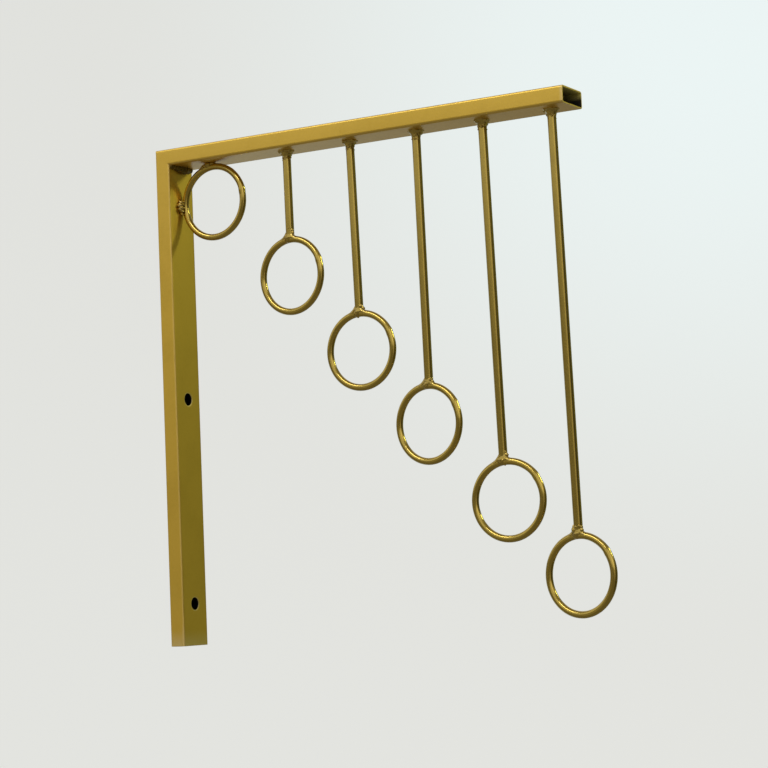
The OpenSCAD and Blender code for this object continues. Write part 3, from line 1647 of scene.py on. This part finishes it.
@dataclass(frozen=True)
class Glow:
    """A soft patch of the surroundings, as the metal sees it.

    Attributes:
        azimuth: Its direction from +X towards +Y, in degrees.
        elevation: Its height above the horizon, in degrees.
        core: Angle from its middle that it fills evenly, in degrees.
        rim: Angle at which it has faded out, in degrees.
        tone: Its colour.
    """

    azimuth: float
    elevation: float
    core: float
    rim: float
    tone: Colour

    def mask(self, graph: Graph, facing: bpy.types.NodeSocket) -> Value:
        """Adds the patch's own share of a direction.

        Args:
            graph: The world's graph.
            facing: The direction, as a unit vector.

        Returns:
            1 within its core, easing to 0 at its rim.
        """
        middle = towards(self.azimuth, self.elevation)
        near = Value(graph, graph.vector("DOT_PRODUCT", facing, middle))
        return near.step(math.cos(math.radians(self.rim)), math.cos(math.radians(self.core)))


@dataclass(frozen=True)
class SoftLamp:
    """An oblong soft lamp that points at the bracket.

    Attributes:
        name: Its name.
        azimuth: Its direction from +X towards +Y, in degrees.
        elevation: Its height above the horizon, in degrees.
        distance: Its distance.
        width: Its level side.
        height: Its other side.
        power: Its power in watts.
        tone: Its colour.
    """

    name: str
    azimuth: float
    elevation: float
    distance: float
    width: float
    height: float
    power: float
    tone: Colour

    def build(self, target: Vector) -> None:
        """Hangs the lamp.

        Args:
            target: The point that it faces.
        """
        data = bpy.data.lights.new(self.name, "AREA")
        data.shape = "RECTANGLE"
        data.size, data.size_y = self.width, self.height
        data.energy = self.power
        data.color = self.tone
        lamp = bpy.data.objects.new(self.name, data)
        lamp.visible_camera = False
        away = towards(self.azimuth, self.elevation)
        lamp.location = target + away * self.distance
        lamp.rotation_euler = away.to_track_quat("Z", "Y").to_euler()
        bpy.context.scene.collection.objects.link(lamp)


@dataclass
class Studio:
    """Pale floor and backdrop, soft lamps and what the metal reflects.

    Attributes:
        floor_z: Height of the floor.
        radius: Distance of the backdrop.
        bend: Radius of the sweep between the floor and the backdrop.
        sweep_steps: Facets of that sweep.
        round_steps: Facets round the backdrop.
        paper: Finish of the floor and backdrop.
        upper: Light of the surroundings in their upper part.
        lower: Light of the surroundings in their lower part.
        skyline: Heights at which lower starts to ease into upper and ends, as sines.
        glows: Patches of the surroundings.
        lamps: The lamps.
    """

    floor_z: float = -1.7
    radius: float = 4.0
    bend: float = 1.9
    sweep_steps: int = 24
    round_steps: int = 96
    paper: StudioPaper = field(default_factory=StudioPaper)
    upper: Colour = (0.72, 0.71, 0.66)
    lower: Colour = (0.19, 0.175, 0.13)
    skyline: tuple[float, float] = (0.147, 0.184)
    glows: tuple[Glow, ...] = (
        Glow(-60, 90, 30, 62, (0.32, 0.30, 0.23)),
        Glow(-128, -16, 8, 22, (0.33, 0.30, 0.20)),
        Glow(12, -6, 16, 46, (0.062, 0.057, 0.042)),
        Glow(60, 14, 24, 44, (0.11, 0.12, 0.048)),
        Glow(58, -9, 12, 26, (0.21, 0.22, 0.083)),
        Glow(148, -8, 16, 36, (0.45, 0.51, 0.54)),
        Glow(-37, 2, 6, 16, (0.50, 0.47, 0.41)),
        Glow(-37, 27, 9, 20, (1.20, 1.15, 1.07)),
    )
    lamps: tuple[SoftLamp, ...] = (
        SoftLamp("front_lamp", -108, 52, 1.8, 1.5, 0.26, 8.0, (1.0, 0.99, 0.97)),
        SoftLamp("back_lamp", 40, 30, 1.4, 0.22, 0.22, 2.5, (0.88, 1.0, 0.58)),
    )

    def floor(self) -> bpy.types.Object:
        """Floor, sweep, wall and ceiling in one smooth shell.

        Returns:
            The shell.
        """
        profile = [Vector((0, 0, self.floor_z))]
        edge = self.radius - self.bend
        for i in range(self.sweep_steps + 1):
            angle = math.pi * i / self.sweep_steps
            profile.append(Vector((
                edge + self.bend * math.sin(angle), 0,
                self.floor_z + self.bend * (1 - math.cos(angle)),
            )))
        profile.append(Vector((0, 0, self.floor_z + 2 * self.bend)))
        bm = bmesh.new()
        chain = [bm.verts.new(point) for point in profile]
        edges = [bm.edges.new(pair) for pair in zip(chain, chain[1:])]
        bmesh.ops.spin(
            bm, geom=chain + edges, axis=(0, 0, 1), cent=(0, 0, 0),
            steps=self.round_steps, angle=math.tau,
        )
        bmesh.ops.remove_doubles(bm, verts=bm.verts, dist=1e-4)
        bmesh.ops.recalc_face_normals(bm, faces=bm.faces)
        bmesh.ops.reverse_faces(bm, faces=bm.faces)
        for face in bm.faces:
            face.smooth = True
        mesh = bpy.data.meshes.new("studio_floor")
        bm.to_mesh(mesh)
        bm.free()
        floor = add_piece("studio_floor", mesh)
        mesh.materials.append(self.paper.material())
        floor.visible_diffuse = False
        floor.visible_glossy = False
        floor.visible_shadow = False
        floor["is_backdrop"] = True
        return floor

    def surroundings(self) -> None:
        """Sets the world that lights the bracket and shows in its gloss."""
        world = bpy.data.worlds.new("surroundings")
        world.use_nodes = True
        graph = Graph(world.node_tree)
        world.node_tree.nodes.clear()
        place = graph.out(graph.node("ShaderNodeTexCoord"), "Generated")
        facing = graph.vector("NORMALIZE", place)
        height = Value(graph, graph.vector("DOT_PRODUCT", facing, (0.0, 0.0, 1.0)))
        tone = graph.blend(height.step(*self.skyline), self.lower, self.upper)
        for glow in self.glows:
            tone = graph.blend(glow.mask(graph, facing), tone, glow.tone)
        sky = graph.node("ShaderNodeBackground", {}, {"Color": tone, "Strength": 1.0})
        graph.node("ShaderNodeOutputWorld", {}, {"Surface": sky.outputs[0]})
        bpy.context.scene.world = world

    def build(self, target: Vector) -> None:
        """Builds the studio round the bracket.

        Args:
            target: Middle of the bracket.
        """
        self.floor()
        self.surroundings()
        for lamp in self.lamps:
            lamp.build(target)


@dataclass(frozen=True)
class StudioCamera:
    """The camera that looks a little upwards past the front of the bracket.

    Attributes:
        place: Where it stands.
        target: The point at the middle of its view.
        roll: Its roll, in degrees.
        lens: Focal length in millimetres on a 36 mm sensor.
    """

    place: Vector = Vector((0.793567, -1.103916, -0.054854))
    target: Vector = Vector((0.14746, 0.0, 0.05979))
    roll: float = -2.358
    lens: float = 104.879

    def build(self) -> None:
        """Stands the camera and makes it the scene's."""
        data = bpy.data.cameras.new("studio_camera")
        data.lens = self.lens
        data.sensor_width = 36.0
        data.clip_start, data.clip_end = 0.01, 50.0
        camera = bpy.data.objects.new("studio_camera", data)
        turn = (self.target - self.place).to_track_quat("-Z", "Y").to_matrix()
        turn = turn @ Matrix.Rotation(math.radians(self.roll), 3, "Z")
        camera.matrix_world = Matrix.Translation(self.place) @ turn.to_4x4()
        bpy.context.scene.collection.objects.link(camera)
        bpy.context.scene.camera = camera
        bpy.context.scene.view_settings.view_transform = "Standard"


def main() -> None:
    """Builds the studio and every piece of the bracket, in order."""
    logging.basicConfig(level=logging.INFO, format="%(name)s: %(message)s")
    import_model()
    cad_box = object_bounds()
    low, high = cad_box
    StudioCamera().build()
    Studio().build((low + high) / 2)
    made = TubeFrame().build()
    made += HangerRings().build()
    made += DropRods().build()
    made += Welds().build()
    LOG.info("%d pieces", len(made))


if __name__ == "__main__":
    main()
